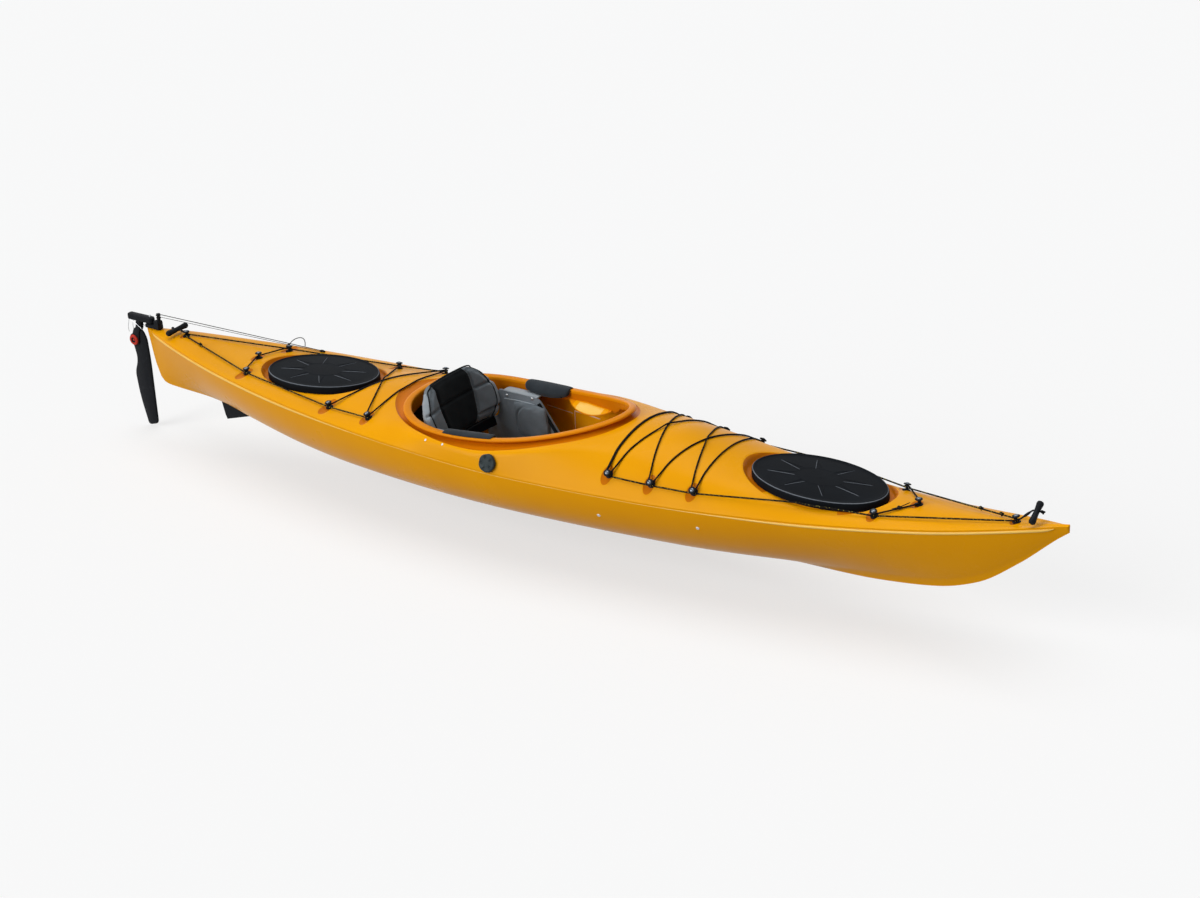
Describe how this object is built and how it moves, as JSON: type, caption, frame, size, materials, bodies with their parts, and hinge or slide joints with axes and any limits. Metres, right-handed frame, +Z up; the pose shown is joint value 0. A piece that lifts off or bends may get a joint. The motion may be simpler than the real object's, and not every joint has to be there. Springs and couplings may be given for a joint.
{
  "type": "sea kayak",
  "caption": "Closed-deck sea kayak with a padded cockpit, oval hatches, deck lines, drop skeg and kick-up rudder.",
  "frame": {"origin": "on the flat of the keel, half way along the hull", "axes": "+X towards the bow, +Y to port, +Z up"},
  "size_m": [4.086, 0.6544, 0.5654],
  "materials": {
    "shell": "glossy moulded polyethylene, orange yellow",
    "black_plastic": "satin black moulding",
    "hatch_rubber": "dull blue-black rubber",
    "seat_plastic": "grey moulding",
    "fabric": "slate grey padded cloth",
    "cord": "woven black cord with pale flecks",
    "hub_red": "red moulding",
    "steel": "stainless pin",
    "foam": "dark closed-cell foam"
  },
  "bodies": {
    "boat": {"hull_shell": "shell", "deck_shell": "shell", "skeg_box": "black_plastic", "skeg_pin": "steel", "skeg_cable": "black_plastic", "fore_bulkhead": "foam", "aft_bulkhead": "foam", "seat_shell": "seat_plastic", "seat_cushion": "fabric", "hip_pad_port": "fabric", "hip_pad_starboard": "fabric", "thigh_pad_port": "fabric", "thigh_pad_starboard": "fabric", "foot_rail_port": "black_plastic", "foot_rail_starboard": "black_plastic", "fitting_fore_1_port": "black_plastic", "fitting_fore_1_starboard": "black_plastic", "fitting_fore_2_port": "black_plastic", "fitting_fore_2_starboard": "black_plastic", "fitting_fore_3_port": "black_plastic", "fitting_fore_3_starboard": "black_plastic", "fitting_fore_4_port": "black_plastic", "fitting_fore_4_starboard": "black_plastic", "fitting_aft_1_port": "black_plastic", "fitting_aft_1_starboard": "black_plastic", "fitting_aft_2_port": "black_plastic", "fitting_aft_2_starboard": "black_plastic", "fitting_aft_3_port": "black_plastic", "fitting_aft_3_starboard": "black_plastic", "fitting_fore_centre": "black_plastic", "fitting_bow": "black_plastic", "fitting_aft_centre": "black_plastic", "fitting_stern": "black_plastic", "fore_deck_line": "cord", "aft_deck_line": "cord", "fore_bungee": "cord", "aft_bungee": "cord", "fore_cross_cord": "cord", "aft_cross_cord": "cord", "bow_toggle_cord": "cord", "stern_toggle_cord": "cord", "rudder_bracket": "black_plastic", "rudder_pintle": "steel", "rudder_lift_line": "cord", "rudder_pull_loop": "cord"},
    "front_hatch": {"front_hatch_cover": "hatch_rubber"},
    "rear_hatch": {"rear_hatch_cover": "hatch_rubber"},
    "skeg": {"skeg_blade": "black_plastic"},
    "skeg_control": {"skeg_knob": "black_plastic"},
    "backrest": {"backrest_plate": "black_plastic", "backrest_cushion": "fabric"},
    "pedal_port": {"foot_pedal_port": "black_plastic"},
    "pedal_starboard": {"foot_pedal_starboard": "black_plastic"},
    "rudder_head_body": {"rudder_head": "black_plastic"},
    "rudder_blade_body": {"rudder_blade": "black_plastic", "rudder_pivot_pin": "steel", "rudder_hub_cap": "hub_red"},
    "bow_handle": {"bow_toggle": "black_plastic"},
    "stern_handle": {"stern_toggle": "black_plastic"}
  },
  "joints": [
    {"name": "front_hatch_lift", "type": "slide", "parent": "boat", "child": "front_hatch", "axis": [0, 0, 1], "range_m": [0, 0.12]},
    {"name": "rear_hatch_lift", "type": "slide", "parent": "boat", "child": "rear_hatch", "axis": [0, 0, 1], "range_m": [0, 0.12]},
    {"name": "skeg_swing", "type": "hinge", "parent": "boat", "child": "skeg", "pos_m": [-1.35519, 0, 0.092], "axis": [0, 1, 0], "range_deg": [-20, 23]},
    {"name": "skeg_knob_turn", "type": "hinge", "parent": "boat", "child": "skeg_control", "pos_m": [-0.05691, -0.30975, 0.27099], "axis": [0.0423, -0.9473, 0.3176], "range_deg": [-80, 92]},
    {"name": "backrest_recline", "type": "hinge", "parent": "boat", "child": "backrest", "pos_m": [-0.43396, 0, 0.15], "axis": [0, 1, 0], "range_deg": [-12, 6]},
    {"name": "pedal_port_slide", "type": "slide", "parent": "boat", "child": "pedal_port", "axis": [0.9923, -0.1089, 0.0585], "range_m": [-0.045, 0.045]},
    {"name": "pedal_starboard_slide", "type": "slide", "parent": "boat", "child": "pedal_starboard", "axis": [0.9923, 0.1089, 0.0585], "range_m": [-0.045, 0.045]},
    {"name": "rudder_steer", "type": "hinge", "parent": "boat", "child": "rudder_head_body", "pos_m": [-1.97, 0, 0.33131], "axis": [0, 0, 1], "range_deg": [-35, 35]},
    {"name": "rudder_blade_lift", "type": "hinge", "parent": "rudder_head_body", "child": "rudder_blade_body", "pos_m": [-2.066, 0, 0.24731], "axis": [0, 1, 0], "range_deg": [0, 100]},
    {"name": "bow_toggle_turn", "type": "hinge", "parent": "boat", "child": "bow_handle", "pos_m": [1.87783, 0, 0.40314], "axis": [1, 0, 0], "range_deg": [-60, 0]},
    {"name": "stern_toggle_turn", "type": "hinge", "parent": "boat", "child": "stern_handle", "pos_m": [-1.82804, 0, 0.33071], "axis": [1, 0, 0], "range_deg": [-5, 5]}
  ],
  "couplings": [
    {"joint": "skeg_knob_turn", "follows": "skeg_swing", "ratio": 4},
    {"joint": "pedal_port_slide", "follows": "rudder_steer", "m_per_rad": -0.0737},
    {"joint": "pedal_starboard_slide", "follows": "rudder_steer", "m_per_rad": 0.0737}
  ]
}
